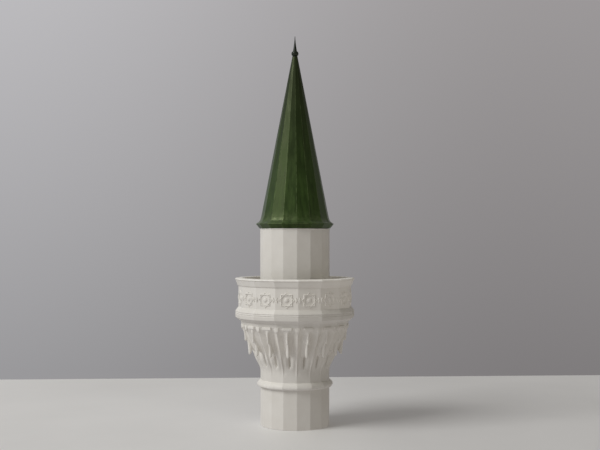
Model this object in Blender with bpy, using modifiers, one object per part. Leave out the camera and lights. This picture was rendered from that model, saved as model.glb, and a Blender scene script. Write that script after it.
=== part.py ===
"""The top of a minaret as a tabletop model, built piece by piece in metres with +Z up.

The origin is the centre of the base. Every storey has sixteen sides, and one corner of each
points to the front, which is -Y. From the ground up the pieces are the lower shaft, a ring
moulding, the stalactite corbel in four tiers, the balcony with its cornice, sixteen parapet
panels and coping, the upper shaft, and the pointed roof with its finial.
"""

import math

import bmesh
import bpy

SIDES = 16
CELL = 2 * math.pi / SIDES
GAP = 0.0003
MERGE = 0.00001

HEIGHT = 0.420
SHAFT_RADIUS = 0.0373

RING_TOP = 0.0492
RING_RADIUS = 0.0410

COLLAR_TOP = 0.0579
CORBEL_TOP = 0.1147
CORBEL_CAP_RADIUS = 0.0596

CORNICE_TOP = 0.1280
CORNICE_RADIUS = 0.0646

PARAPET_TOP = 0.1502
PARAPET_RADIUS = 0.0612
PARAPET_THICKNESS = 0.0042
FLOOR_THICKNESS = 0.0020

COPING_TOP = 0.1590
COPING_RADIUS = 0.0648

UPPER_SHAFT_RADIUS = 0.0376
UPPER_SHAFT_TOP = 0.2100
LIP_TOP = 0.2119
LIP_RADIUS = 0.0380

EAVE_RADIUS = 0.0421
EAVE_TOP = 0.2239
CONE_RADIUS = 0.0366
CONE_TOP = 0.3978
CONE_TOP_RADIUS = 0.0029

BEAD_BOTTOM = 0.3988
BEAD_TOP = 0.4038
BEAD_RADIUS = 0.0039
BEAD_ARC_STEPS = 4
SPIKE_RADIUS = 0.0022
SPIKE_TIP_RADIUS = 0.0003
SPIKE_STEPS = 5
SPIKE_POWER = 2.4

# Profiles of the mouldings as (inset from the outer radius, drop from the top), downwards
RING_EDGE = (
    (0.0035, 0.0), (0.0018, 0.0006), (0.0005, 0.0018), (0.0, 0.0034),
    (0.0, 0.0052), (0.0004, 0.0065), (0.0014, 0.0073), (0.0037, 0.0076),
)
CAP_EDGE = ((0.0, 0.0), (0.0, 0.0012), (0.0008, 0.0034), (0.0015, 0.0058))
CORNICE_EDGE = (
    (0.0034, 0.0), (0.0028, 0.0003), (0.0004, 0.0033), (0.0001, 0.0039),
    (0.0001, 0.0044), (0.0004, 0.0047), (0.0, 0.0051), (0.0, 0.0062),
    (0.0004, 0.0066), (0.0001, 0.0070), (0.0002, 0.0094), (0.0008, 0.0099),
    (0.0010, 0.0114), (0.0016, 0.0120), (0.0022, 0.0130),
)
COPING_EDGE = (
    (0.0004, 0.0), (0.0, 0.0004), (0.0, 0.0018), (0.0006, 0.0022),
    (0.0009, 0.0044), (0.0012, 0.0062), (0.0016, 0.0074), (0.0024, 0.0080),
    (0.0033, 0.0085),
)
EAVE_EDGE = ((0.0055, 0.0), (0.0043, 0.0026), (0.0, 0.0066), (0.0, 0.0074))


class Fold:
    """One level of a tier's folded outline.

    The corner is a radius. The others are depths behind the plain facet between the corners: at
    the corner's foot, at the quarter, at the edge of the drop and in mid-face.
    """

    SHARES = (0.0, 1 / 6, 1 / 2, 5 / 6, 1.0)

    def __init__(self, height, corner, foot, quarter, edge, middle):
        self.height = height
        self.corner = corner
        self.depths = (0.0, foot, quarter, edge, middle)

    def half_cell(self):
        """Angle off the corner and radius of each point, from the corner to mid-face."""
        points = []
        for share, depth in zip(self.SHARES, self.depths):
            angle = share * CELL / 2
            points.append((angle, flat_radius(self.corner, angle) - depth))
        return points


TIERS = {
    "muqarnas_tier_1": (
        Fold(0.0582, 0.0374, 0.0, 0.0, 0.0, 0.0),
        Fold(0.0635, 0.0391, 0.0008, 0.0004, 0.0006, 0.0010),
        Fold(0.0685, 0.0412, 0.0012, 0.0007, 0.0024, 0.0036),
        Fold(0.0720, 0.0429, 0.0013, 0.0010, 0.0030, 0.0046),
        Fold(0.0770, 0.0447, 0.0014, 0.0016, 0.0030, 0.0048),
    ),
    "muqarnas_tier_2": (
        Fold(0.0773, 0.0448, 0.0014, 0.0020, 0.0024, 0.0026),
        Fold(0.0800, 0.0459, 0.0013, 0.0029, 0.0016, 0.0006),
        Fold(0.0840, 0.0476, 0.0012, 0.0035, 0.0012, 0.0002),
        Fold(0.0910, 0.0510, 0.0012, 0.0036, 0.0012, 0.0006),
    ),
    "muqarnas_tier_3": (
        Fold(0.0913, 0.0512, 0.0012, 0.0036, 0.0006, -0.0027),
        Fold(0.0950, 0.0530, 0.0012, 0.0036, 0.0006, -0.0016),
        Fold(0.1000, 0.0552, 0.0012, 0.0036, 0.0012, 0.0002),
        Fold(0.1040, 0.0570, 0.0012, 0.0032, 0.0018, 0.0016),
    ),
    "muqarnas_tier_4": (
        Fold(0.1043, 0.0571, 0.0014, 0.0030, 0.0014, 0.0010),
        Fold(0.1086, 0.0578, 0.0014, 0.0026, 0.0016, 0.0010),
    ),
}

# Carving that hangs on the tiers, as (height, outer reach, inner reach, half width) upwards
LOWER_DROP = (
    (0.0770, 0.0511, 0.0505, 0.0002),
    (0.0778, 0.0518, 0.0493, 0.0012),
    (0.0812, 0.0521, 0.0484, 0.0016),
    (0.0870, 0.0528, 0.0496, 0.0016),
    (0.0920, 0.0536, 0.0505, 0.0013),
    (0.0930, 0.0530, 0.0510, 0.0008),
)
UPPER_DROP = (
    (0.0918, 0.0550, 0.0544, 0.0002),
    (0.0928, 0.0556, 0.0540, 0.0011),
    (0.0970, 0.0559, 0.0544, 0.0009),
    (0.1020, 0.0565, 0.0550, 0.0011),
    (0.1045, 0.0570, 0.0550, 0.0022),
    (0.1075, 0.0575, 0.0545, 0.0038),
)
BAR = (
    (0.1063, 0.0578, 0.0545, 0.0047),
    (0.1067, 0.0581, 0.0540, 0.0050),
    (0.1084, 0.0581, 0.0540, 0.0050),
)
BRACKET = (
    (0.1045, 0.0576, 0.0550, 0.0016),
    (0.1054, 0.0582, 0.0545, 0.0024),
    (0.1083, 0.0584, 0.0540, 0.0025),
)
DROP_FRONT_SHARE = 0.6

WHITE = ("cast_white", (0.72, 0.69, 0.64, 1.0), 0.55)
GREEN = ("roof_green", (0.035, 0.075, 0.022, 1.0), 0.3)
DARK = ("finial_dark", (0.012, 0.018, 0.010, 1.0), 0.35)


def clear_scene():
    for obj in list(bpy.data.objects):
        bpy.data.objects.remove(obj, do_unlink=True)


def material(finish):
    """The Principled material of one finish, made on first use."""
    name, colour, roughness = finish
    found = bpy.data.materials.get(name)
    if found:
        return found
    made = bpy.data.materials.new(name)
    made.use_nodes = True
    shader = made.node_tree.nodes["Principled BSDF"]
    shader.inputs["Base Color"].default_value = colour
    shader.inputs["Roughness"].default_value = roughness
    shader.inputs["Metallic"].default_value = 0.0
    return made


def add_object(name, mesh, collection, finish):
    obj = bpy.data.objects.new(name, mesh)
    collection.objects.link(obj)
    if not mesh.materials:
        mesh.materials.append(material(finish))
    return obj


def flat_radius(corner_radius, angle):
    """Distance from the axis to a sixteen-sided outline at this angle."""
    apothem = corner_radius * math.cos(CELL / 2)
    return apothem / math.cos(angle % CELL - CELL / 2)


def turned(name, profile, collection, finish, steps=SIDES, closed=False):
    """A profile of (radius, height) points, top to bottom on its outer side, screwed round Z."""
    mesh = bpy.data.meshes.new(name)
    points = [(radius, 0.0, height) for radius, height in profile]
    edges = [(i, i + 1) for i in range(len(points) - 1)]
    if closed:
        edges.append((len(points) - 1, 0))
    mesh.from_pydata(points, edges, [])
    obj = add_object(name, mesh, collection, finish)
    screw = obj.modifiers.new("Screw", "SCREW")
    screw.steps = steps
    screw.render_steps = steps
    screw.use_merge_vertices = True
    screw.merge_threshold = MERGE
    screw.use_smooth_shade = False
    return obj


def solid_disc(name, rim, collection, finish, steps=SIDES):
    """A solid of revolution from its rim points alone, closed on the axis at both ends."""
    profile = [(0.0, rim[0][1]), *rim, (0.0, rim[-1][1])]
    return turned(name, profile, collection, finish, steps)


def moulded(name, radius, top, edge, collection):
    """A solid whose rim follows a moulding's profile from its top down."""
    rim = [(radius - inset, top - drop) for inset, drop in edge]
    return solid_disc(name, rim, collection, WHITE)


def half_round(bottom, top, inner, outer, steps):
    """Rim points of a half-round moulding, from its top edge down to its bottom edge."""
    middle = (bottom + top) / 2
    half = (top - bottom) / 2
    points = []
    for i in range(steps + 1):
        turn = math.pi * i / steps
        points.append((inner + (outer - inner) * math.sin(turn), middle + half * math.cos(turn)))
    return points


def folded_outline(fold):
    """The points of one level round all sixteen cells."""
    half = fold.half_cell()
    cell = half + [(CELL - angle, radius) for angle, radius in reversed(half[1:-1])]
    points = []
    for side in range(SIDES):
        for angle, radius in cell:
            turn = side * CELL + angle
            points.append((radius * math.cos(turn), radius * math.sin(turn), fold.height))
    return points


def loft_mesh(name, sections):
    """A closed body through sections of like points, listed upwards and turning left."""
    mesh = bmesh.new()
    rings = [[mesh.verts.new(point) for point in section] for section in sections]
    mesh.faces.new(list(reversed(rings[0])))
    mesh.faces.new(rings[-1])
    for low, high in zip(rings, rings[1:]):
        for i in range(len(low)):
            j = (i + 1) % len(low)
            mesh.faces.new((low[i], low[j], high[j], high[i]))
    data = bpy.data.meshes.new(name)
    mesh.to_mesh(data)
    mesh.free()
    return data


def carving_sections(stations, azimuth):
    """Four-cornered sections of one piece of carving, which is narrower in front."""
    out = (math.cos(azimuth), math.sin(azimuth))
    across = (-out[1], out[0])
    sections = []
    for height, outer, inner, half in stations:
        corners = (
            (outer, -half * DROP_FRONT_SHARE),
            (outer, half * DROP_FRONT_SHARE),
            (inner, half),
            (inner, -half),
        )
        sections.append([
            (reach * out[0] + side * across[0], reach * out[1] + side * across[1], height)
            for reach, side in corners
        ])
    return sections


def carving(name, patterns, tools):
    """Sixteen copies of each pattern, a (stations, first azimuth) pair, as a guide to join."""
    mesh = bmesh.new()
    for stations, first in patterns:
        for side in range(SIDES):
            piece = loft_mesh(name, carving_sections(stations, first + side * CELL))
            mesh.from_mesh(piece)
            bpy.data.meshes.remove(piece)
    data = bpy.data.meshes.new(name)
    mesh.to_mesh(data)
    mesh.free()
    guide = add_object(name, data, tools, WHITE)
    guide.hide_render = True
    guide.display_type = "WIRE"
    return guide


def join_carving(body, guide):
    union = body.modifiers.new(guide.name, "BOOLEAN")
    union.operation = "UNION"
    union.object = guide


def wedge_panel_mesh(name, outer_radius, thickness, bottom, top):
    """A box with mitred ends that fills one side of the balcony, facing +X."""
    outer = outer_radius * math.cos(CELL / 2)
    inner = outer - thickness
    mesh = bmesh.new()
    bmesh.ops.create_cube(mesh, size=1.0)
    for vert in mesh.verts:
        reach = outer if vert.co.x > 0 else inner
        half_width = reach * math.tan(CELL / 2) - GAP / 2
        vert.co.y = math.copysign(half_width, vert.co.y)
        vert.co.x = reach
        vert.co.z = top if vert.co.z > 0 else bottom
    data = bpy.data.meshes.new(name)
    mesh.to_mesh(data)
    mesh.free()
    return data


def lower_shaft(collection):
    top = RING_TOP - RING_EDGE[-1][1] - GAP
    rim = [(SHAFT_RADIUS, top), (SHAFT_RADIUS, 0.0)]
    solid_disc("lower_shaft", rim, collection, WHITE)


def shaft_ring(collection):
    moulded("shaft_ring", RING_RADIUS, RING_TOP, RING_EDGE, collection)


def corbel(collection, tools):
    """The collar, four tiers of folds with their bars, brackets and drops, and the plain cap."""
    collar = [(SHAFT_RADIUS, COLLAR_TOP), (SHAFT_RADIUS, RING_TOP + GAP)]
    solid_disc("corbel_collar", collar, collection, WHITE)
    tiers = {}
    for name, folds in TIERS.items():
        mesh = loft_mesh(name, [folded_outline(fold) for fold in folds])
        tiers[name] = add_object(name, mesh, collection, WHITE)
    mid_face = CELL / 2
    lower_drops = carving("lower_drops", [(LOWER_DROP, mid_face)], tools)
    join_carving(tiers["muqarnas_tier_3"], lower_drops)
    bars = carving("bars_and_brackets", [(BAR, mid_face), (BRACKET, 0.0)], tools)
    join_carving(tiers["muqarnas_tier_4"], bars)
    upper_drops = carving("upper_drops", [(UPPER_DROP, mid_face)], tools)
    join_carving(tiers["muqarnas_tier_4"], upper_drops)
    moulded("corbel_cap", CORBEL_CAP_RADIUS, CORBEL_TOP, CAP_EDGE, collection)


def cornice(collection):
    """The balcony slab, whose edge is a weathering, a bead between grooves and a fascia."""
    moulded("cornice", CORNICE_RADIUS, CORNICE_TOP, CORNICE_EDGE, collection)


def gallery(collection):
    """The floor, the sixteen parapet panels and the coping that runs round their tops."""
    panel_inner = PARAPET_RADIUS - PARAPET_THICKNESS / math.cos(CELL / 2)
    low = CORNICE_TOP + GAP
    floor_edge = panel_inner - 2 * GAP
    floor = [(floor_edge, low + FLOOR_THICKNESS), (floor_edge, low)]
    solid_disc("gallery_floor", floor, collection, WHITE)
    data = wedge_panel_mesh("parapet_panel", PARAPET_RADIUS, PARAPET_THICKNESS, low, PARAPET_TOP)
    for side in range(SIDES):
        panel = add_object(f"parapet_panel_{side + 1:02d}", data, collection, WHITE)
        panel.rotation_euler.z = -math.pi / 2 + (side + 0.5) * CELL
    coping = [(panel_inner, COPING_TOP)]
    coping += [(COPING_RADIUS - inset, COPING_TOP - drop) for inset, drop in COPING_EDGE]
    coping.append((panel_inner, PARAPET_TOP + GAP))
    turned("coping_rim", coping, collection, WHITE, closed=True)


def upper_shaft(collection):
    low = CORNICE_TOP + FLOOR_THICKNESS + 2 * GAP
    rim = [(UPPER_SHAFT_RADIUS, UPPER_SHAFT_TOP), (UPPER_SHAFT_RADIUS, low)]
    solid_disc("upper_shaft", rim, collection, WHITE)
    lip = [(LIP_RADIUS, LIP_TOP), (LIP_RADIUS, UPPER_SHAFT_TOP + GAP)]
    solid_disc("shaft_lip", lip, collection, WHITE)


def roof(collection):
    eave = [(EAVE_RADIUS - inset, EAVE_TOP - drop) for inset, drop in EAVE_EDGE]
    eave.append((LIP_RADIUS, LIP_TOP + GAP))
    solid_disc("roof_eave", eave, collection, GREEN)
    cone = [(CONE_TOP_RADIUS, CONE_TOP), (CONE_RADIUS, EAVE_TOP + GAP)]
    solid_disc("roof_cone", cone, collection, GREEN)


def finial(collection):
    neck = [(CONE_TOP_RADIUS, BEAD_BOTTOM - GAP), (CONE_TOP_RADIUS, CONE_TOP + GAP)]
    solid_disc("finial_neck", neck, collection, DARK)
    bead = half_round(BEAD_BOTTOM, BEAD_TOP, SPIKE_RADIUS, BEAD_RADIUS, BEAD_ARC_STEPS)
    solid_disc("finial_bead", bead, collection, DARK)
    low = BEAD_TOP + GAP
    spike = []
    for i in range(SPIKE_STEPS + 1):
        share = i / SPIKE_STEPS
        radius = SPIKE_TIP_RADIUS + (SPIKE_RADIUS - SPIKE_TIP_RADIUS) * share**SPIKE_POWER
        spike.append((radius, HEIGHT + (low - HEIGHT) * share))
    solid_disc("finial_spike", spike, collection, DARK)


def main():
    clear_scene()
    collection = bpy.data.collections.new("minaret")
    tools = bpy.data.collections.new("joining_guides")
    bpy.context.scene.collection.children.link(collection)
    bpy.context.scene.collection.children.link(tools)
    lower_shaft(collection)
    shaft_ring(collection)
    corbel(collection, tools)
    cornice(collection)
    gallery(collection)
    upper_shaft(collection)
    roof(collection)
    finial(collection)
    bpy.context.view_layer.update()


main()
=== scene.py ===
"""Looks of a tabletop model of a minaret top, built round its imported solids.

Every storey has sixteen sides, with a corner to the front, and is drawn up from one outline
whose corners are a little rounded, as on a cast piece. The corbel is one casting, fused from
its collar, its folds and its hanging drops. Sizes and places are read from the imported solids.
"""

from __future__ import annotations

import logging
import math
from collections.abc import Callable, Iterator, Sequence
from contextlib import contextmanager
from dataclasses import dataclass, field
from enum import Enum

import bmesh
import bpy
from mathutils import Matrix, Vector


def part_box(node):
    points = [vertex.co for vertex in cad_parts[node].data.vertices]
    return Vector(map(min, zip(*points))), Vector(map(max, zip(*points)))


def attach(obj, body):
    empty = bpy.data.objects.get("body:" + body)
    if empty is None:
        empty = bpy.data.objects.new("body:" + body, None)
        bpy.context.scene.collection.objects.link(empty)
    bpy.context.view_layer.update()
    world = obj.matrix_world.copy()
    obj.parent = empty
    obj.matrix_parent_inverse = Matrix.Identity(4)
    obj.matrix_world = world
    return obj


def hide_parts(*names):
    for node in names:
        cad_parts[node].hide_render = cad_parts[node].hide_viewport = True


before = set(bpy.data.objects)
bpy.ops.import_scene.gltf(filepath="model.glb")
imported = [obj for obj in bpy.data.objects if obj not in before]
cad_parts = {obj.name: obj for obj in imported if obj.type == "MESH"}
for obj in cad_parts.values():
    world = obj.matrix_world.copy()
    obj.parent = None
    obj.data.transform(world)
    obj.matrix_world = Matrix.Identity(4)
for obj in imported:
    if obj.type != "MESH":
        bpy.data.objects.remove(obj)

Colour = tuple[float, float, float]
Span = tuple[float, float]
Drift = tuple[float, float, float, float]
Piece = bpy.types.Object
Material = bpy.types.Material
Socket = bpy.types.NodeSocket

SIDES = 16
CELL = 2 * math.pi / SIDES
FLAT_SHARE = math.cos(CELL / 2)
NEAR = 0.00001
MERGED = 0.000002
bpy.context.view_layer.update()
LOG = logging.getLogger("minaret")


class Slot(Enum):
    """The record's material slots."""

    CAST_WHITE = "cast_white"
    ROOF_GREEN = "roof_green"
    FINIAL_DARK = "finial_dark"


class Ends(Enum):
    """What closes a moulding: a flat cap at each end, or its own inner side."""

    CAPPED = "capped"
    RING = "ring"


@dataclass(frozen=True)
class Extent:
    """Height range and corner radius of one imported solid."""

    low: float
    high: float
    radius: float

    @property
    def middle(self) -> float:
        """Height halfway up."""
        return (self.low + self.high) / 2

    @property
    def height(self) -> float:
        """Full height."""
        return self.high - self.low


def extent(node: str) -> Extent:
    """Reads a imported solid's height range and corner radius."""
    low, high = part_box(node)
    return Extent(low.z, high.z, high.x)


@dataclass(frozen=True)
class Level:
    """One turn of a moulding's outline: its corner radius, height, and how pale its edges are from
    0 to 1, as painted highlight and, on the roof, rubbed paint.
    """

    radius: float
    height: float
    highlight_and_wear: float = 0.0


def clear_selection() -> None:
    """Leaves object mode with nothing selected."""
    if bpy.context.mode != "OBJECT":
        bpy.ops.object.mode_set(mode="OBJECT")
    bpy.ops.object.select_all(action="DESELECT")


def activate(piece: Piece) -> None:
    """Makes one piece the only selected and the active object."""
    clear_selection()
    piece.select_set(True)
    bpy.context.view_layer.objects.active = piece


@contextmanager
def editing(piece: Piece) -> Iterator[None]:
    """Opens a piece in edit mode with nothing selected, and closes it again."""
    activate(piece)
    bpy.ops.object.mode_set(mode="EDIT")
    bpy.ops.mesh.select_mode(type="VERT")
    bpy.ops.mesh.select_all(action="DESELECT")
    yield
    bpy.ops.object.mode_set(mode="OBJECT")


def new_piece(name: str) -> Piece:
    """Names the object that an operator has just added, and returns it."""
    piece = bpy.context.object
    piece.name = name
    piece.data.name = name
    return piece


def disc(name: str, points: int, radius: float = 1.0) -> Piece:
    """Starts a piece from one flat outline on the ground, round the axis."""
    clear_selection()
    bpy.ops.mesh.primitive_circle_add(vertices=points, radius=radius, fill_type="NGON")
    return new_piece(name)


def select_all() -> None:
    """Selects the whole mesh, in edit mode."""
    bpy.ops.mesh.select_all(action="SELECT")


def pick(piece: Piece, wanted: Callable[[Vector], bool]) -> None:
    """Selects, in edit mode, the points whose place passes a test, and nothing else."""
    shape = bmesh.from_edit_mesh(piece.data)
    for vertex in shape.verts:
        vertex.select = wanted(vertex.co)
    shape.select_flush_mode()
    bmesh.update_edit_mesh(piece.data)


def move(x: float, y: float, z: float) -> None:
    """Moves the selected points."""
    bpy.ops.transform.translate(value=(x, y, z))


def extrude(rise: float) -> None:
    """Draws the selected outline up by a height, with walls below it."""
    bpy.ops.mesh.extrude_region_move(TRANSFORM_OT_translate={"value": (0.0, 0.0, rise)})


def scale(grow: float, height: float) -> None:
    """Scales the selected points out from the axis at a height."""
    bpy.ops.transform.resize(value=(grow, grow, 1.0), center_override=(0.0, 0.0, height))


def face_out(merge: bool = False) -> None:
    """Turns all faces outwards, and first joins doubled points if asked."""
    select_all()
    if merge:
        bpy.ops.mesh.remove_doubles(threshold=MERGED)
    bpy.ops.mesh.normals_make_consistent(inside=False)


def apply_modifier(piece: Piece, name: str, kind: str, **settings: object) -> None:
    """Adds a modifier to a piece and applies it.

    Args:
        piece: The object to change.
        name: The modifier's name.
        kind: The modifier's type.
        settings: Values for the modifier's properties.
    """
    activate(piece)
    modifier = piece.modifiers.new(name, kind)
    for key, value in settings.items():
        setattr(modifier, key, value)
    bpy.ops.object.modifier_apply(modifier=modifier.name)


def join(pieces: Sequence[Piece], name: str) -> Piece:
    """Joins pieces into the first of them, renames it and returns it."""
    clear_selection()
    for piece in pieces:
        piece.select_set(True)
    bpy.context.view_layer.objects.active = pieces[0]
    bpy.ops.object.join()
    return new_piece(name)


def on_every_side(cell: Piece) -> list[Piece]:
    """Copies one side's piece to the other sides, and returns them all."""
    pieces = [cell]
    for side in range(1, SIDES):
        copy = cell.copy()
        copy.data = cell.data.copy()
        copy.data.transform(Matrix.Rotation(side * CELL, 4, "Z"))
        bpy.context.scene.collection.objects.link(copy)
        pieces.append(copy)
    return pieces


def smooth(piece: Piece, degrees: float = 35.0) -> None:
    """Shades a piece smooth, but keeps its flats flat and edges past an angle crisp."""
    activate(piece)
    bpy.ops.object.shade_smooth_by_angle(angle=math.radians(degrees))
    apply_modifier(piece, "Flats", "WEIGHTED_NORMAL", keep_sharp=True)


@dataclass(frozen=True)
class Turn:
    """One turn of an edge: its way in from a corner radius, its rise and how pale it is, as
    painted highlight and, on the roof, rubbed paint.
    """

    inset: float
    rise: float
    highlight_and_wear: float = 0.0

    def levels(self, radius: float, height: float) -> list[Level]:
        """The turn where the edge starts at a radius and height."""
        return [Level(radius - self.inset, height + self.rise, self.highlight_and_wear)]


@dataclass(frozen=True)
class Bead:
    """A round stretch of an edge, as part of an ellipse.

    Its centre lies in from a corner radius and above a height. Its reach is half its width
    outwards and upwards, and its angles are in degrees, 0 outwards and 90 upwards.
    """

    inset: float
    rise: float
    reach: Span
    start: float
    end: float
    steps: int
    highlight_and_wear: float = 0.0

    def levels(self, radius: float, height: float) -> list[Level]:
        """The stretch's turns where the edge starts at a radius and height."""
        out, up = self.reach
        turns = []
        for i in range(self.steps + 1):
            angle = math.radians(self.start + (self.end - self.start) * i / self.steps)
            turns.append(
                Level(
                    radius - self.inset + out * math.cos(angle),
                    height + self.rise + up * math.sin(angle),
                    self.highlight_and_wear if 0 < i < self.steps else 0.0,
                )
            )
        return turns


def placed(edge: Sequence[Turn | Bead], radius: float, height: float) -> list[Level]:
    """Places an edge.

    Args:
        edge: Its turns and round stretches, from below.
        radius: Corner radius that their insets are measured from.
        height: Height that their rises are measured from.

    Returns:
        Its levels.
    """
    return [level for part in edge for level in part.levels(radius, height)]


def taper(foot: Level, tip: Level, stretches: int, power: float = 1.0) -> list[Level]:
    """Draws a taper in equal stretches.

    Args:
        foot: Where it starts.
        tip: Where it ends.
        stretches: How many stretches it has.
        power: How hollow its sides are, with 1 for straight.

    Returns:
        Its levels above the foot.
    """
    levels = []
    for i in range(1, stretches + 1):
        left = 1 - i / stretches
        radius = tip.radius + (foot.radius - tip.radius) * left**power
        levels.append(Level(radius, tip.height + (foot.height - tip.height) * left))
    return levels


@dataclass
class Moulding:
    """A piece drawn up level by level from one outline with rounded corners.

    The arris is how far a corner is rounded. A point takes the edge paleness of its nearest level
    (painted highlight, and on the roof rubbed paint), where a way up weighs more than a way
    outwards.
    """

    name: str
    levels: Sequence[Level]
    ends: Ends = Ends.CAPPED
    sides: int = SIDES
    arris: float = 0.0004
    arris_steps: int = 3
    rise_weight: float = 3.0

    def build(self) -> Piece:
        """Models the piece.

        Returns:
            The finished object, at the origin.
        """
        first = self.levels[0]
        piece = disc(self.name, self.sides, first.radius)
        with editing(piece):
            select_all()
            move(0.0, 0.0, first.height)
            if self.arris:
                bpy.ops.mesh.bevel(
                    offset=self.arris, segments=self.arris_steps, affect="VERTICES"
                )
            select_all()
            if self.ends is Ends.RING:
                bpy.ops.mesh.delete(type="ONLY_FACE")
                select_all()
            self._draw_up()
            face_out(merge=True)
        self._mark_highlight_and_wear(piece)
        smooth(piece)
        return piece

    def _draw_up(self) -> None:
        """Extrudes the selected outline through the levels, and back to the first in a ring."""
        levels = list(self.levels)
        if self.ends is Ends.RING:
            levels.append(levels[0])
        for here, after in zip(levels, levels[1:]):
            extrude(after.height - here.height)
            scale(after.radius / here.radius, after.height)

    def _mark_highlight_and_wear(self, piece: Piece) -> None:
        """Stores edge paleness on the vertices, as painted highlight and on the roof rubbed paint:
        full on a corner's middle and as its level says.

        Args:
            piece: The object to mark.
        """
        cell = 2 * math.pi / self.sides
        corner = self.arris / 2 / self.levels[0].radius
        # Edge paleness: painted highlight on the white pieces, rubbed paint with painted highlight
        # on the roof.
        attribute = piece.data.attributes.new("highlight_and_wear", "FLOAT", "POINT")
        for vertex, value in zip(piece.data.vertices, attribute.data):
            across, height = Vector(vertex.co.xy), vertex.co.z
            angle = math.atan2(across.y, across.x) % cell
            reach = across.length
            nearest = min(
                self.levels,
                key=lambda level: self.rise_weight * abs(level.height - height)
                + abs(level.radius - reach),
            )
            on_corner = 1.0 if min(angle, cell - angle) < corner else 0.0
            value.value = max(on_corner, nearest.highlight_and_wear)


@dataclass(frozen=True)
class Pattern:
    """A noise pattern: its repeats in a metre, its finer layers and the share that each adds.

    The span is the range of its values that a finish uses, and the stretch draws it out.
    """

    scale: float
    detail: float = 2.0
    rough: float = 0.5
    span: Span = (0.3, 0.7)
    stretch: Sequence[float] | None = None


@dataclass(frozen=True)
class Texture:
    """A fine unevenness: its pattern, its full height in metres and its strength."""

    pattern: Pattern
    depth: float
    strength: float


class NodeSheet:
    """A node tree, with short ways to add and join nodes."""

    def __init__(
        self, owner: Material | bpy.types.World, space: str = "Object"
    ) -> None:
        """Starts on a new material or world.

        Args:
            owner: What the nodes are for.
            space: The coordinates that its patterns lie on.
        """
        owner.use_nodes = True
        self.owner = owner
        self.tree = owner.node_tree
        self.place = self.add("ShaderNodeTexCoord").outputs[space]

    @property
    def shader(self) -> bpy.types.Node:
        """The material's Principled shader."""
        return self.tree.nodes["Principled BSDF"]

    def add(self, kind: str, **settings: object) -> bpy.types.Node:
        """Adds a node and sets its properties."""
        node = self.tree.nodes.new(kind)
        for key, value in settings.items():
            setattr(node, key, value)
        return node

    def join(self, source: Socket, target: Socket) -> None:
        """Links one socket to another."""
        self.tree.links.new(source, target)

    def noise(self, pattern: Pattern) -> Socket:
        """A pattern's plain value, on the piece's own coordinates."""
        node = self.add("ShaderNodeTexNoise")
        node.inputs["Scale"].default_value = pattern.scale
        node.inputs["Detail"].default_value = pattern.detail
        node.inputs["Roughness"].default_value = pattern.rough
        source = self.place
        if pattern.stretch:
            drawn = self.add("ShaderNodeVectorMath", operation="MULTIPLY")
            drawn.inputs[1].default_value = pattern.stretch
            self.join(self.place, drawn.inputs[0])
            source = drawn.outputs[0]
        self.join(source, node.inputs["Vector"])
        return node.outputs["Fac"]

    def spotted(
        self, pattern: Pattern, to_low: float = 0.0, to_high: float = 1.0
    ) -> Socket:
        """A pattern's value, with its span mapped to a range."""
        return self.spread(self.noise(pattern), *pattern.span, to_low, to_high)

    def axis(self, name: str) -> Socket:
        """One of the coordinates X, Y and Z."""
        node = self.add("ShaderNodeSeparateXYZ")
        self.join(self.place, node.inputs[0])
        return node.outputs[name]

    def spread(
        self,
        value: Socket,
        low: float,
        high: float,
        to_low: float,
        to_high: float,
        ease: bool = False,
    ) -> Socket:
        """Maps a value's range to another, clamped at its ends and, if asked, eased there."""
        node = self.add("ShaderNodeMapRange")
        node.interpolation_type = "SMOOTHSTEP" if ease else "LINEAR"
        self.join(value, node.inputs["Value"])
        for key, number in zip(
            ("From Min", "From Max", "To Min", "To Max"), (low, high, to_low, to_high)
        ):
            node.inputs[key].default_value = number
        return node.outputs["Result"]

    def combine(
        self, one: Socket, other: Socket, operation: str = "MULTIPLY"
    ) -> Socket:
        """Joins two values by a sum or product."""
        node = self.add("ShaderNodeMath", operation=operation)
        self.join(one, node.inputs[0])
        self.join(other, node.inputs[1])
        return node.outputs[0]

    def scaled(
        self, colour: Socket, factor: Socket
    ) -> Socket:
        """A colour times a value."""
        node = self.add("ShaderNodeVectorMath", operation="SCALE")
        self.join(colour, node.inputs[0])
        self.join(factor, node.inputs["Scale"])
        return node.outputs[0]

    def blend(
        self,
        factor: Socket,
        under: Colour | Socket,
        over: Colour | Socket,
    ) -> Socket:
        """Mixes two colours by a factor.

        Args:
            factor: Share of the second colour.
            under: The first colour, as a value or a socket.
            over: The second colour, as a value or a socket.

        Returns:
            The mixed colour's socket.
        """
        node = self.add("ShaderNodeMix", data_type="RGBA")
        self.join(factor, node.inputs["Factor"])
        for socket, colour in ((node.inputs[6], under), (node.inputs[7], over)):
            if isinstance(colour, tuple):
                socket.default_value = (*colour, 1.0)
            else:
                self.join(colour, socket)
        return node.outputs[2]

    def roughen(self, *textures: Texture) -> None:
        """Lays textures over one another on the material's surface, the first below."""
        normal = None
        for texture in textures:
            node = self.add("ShaderNodeBump")
            node.inputs["Distance"].default_value = texture.depth
            node.inputs["Strength"].default_value = texture.strength
            self.join(self.noise(texture.pattern), node.inputs["Height"])
            if normal:
                self.join(normal, node.inputs["Normal"])
            normal = node.outputs["Normal"]
        if normal:
            self.join(normal, self.shader.inputs["Normal"])

    def paint(self, colour: Socket, roughness: Socket, specular: float) -> None:
        """Sets the material's colour, roughness and gloss."""
        self.join(colour, self.shader.inputs["Base Color"])
        self.join(roughness, self.shader.inputs["Roughness"])
        self.shader.inputs["Specular IOR Level"].default_value = specular


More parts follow.
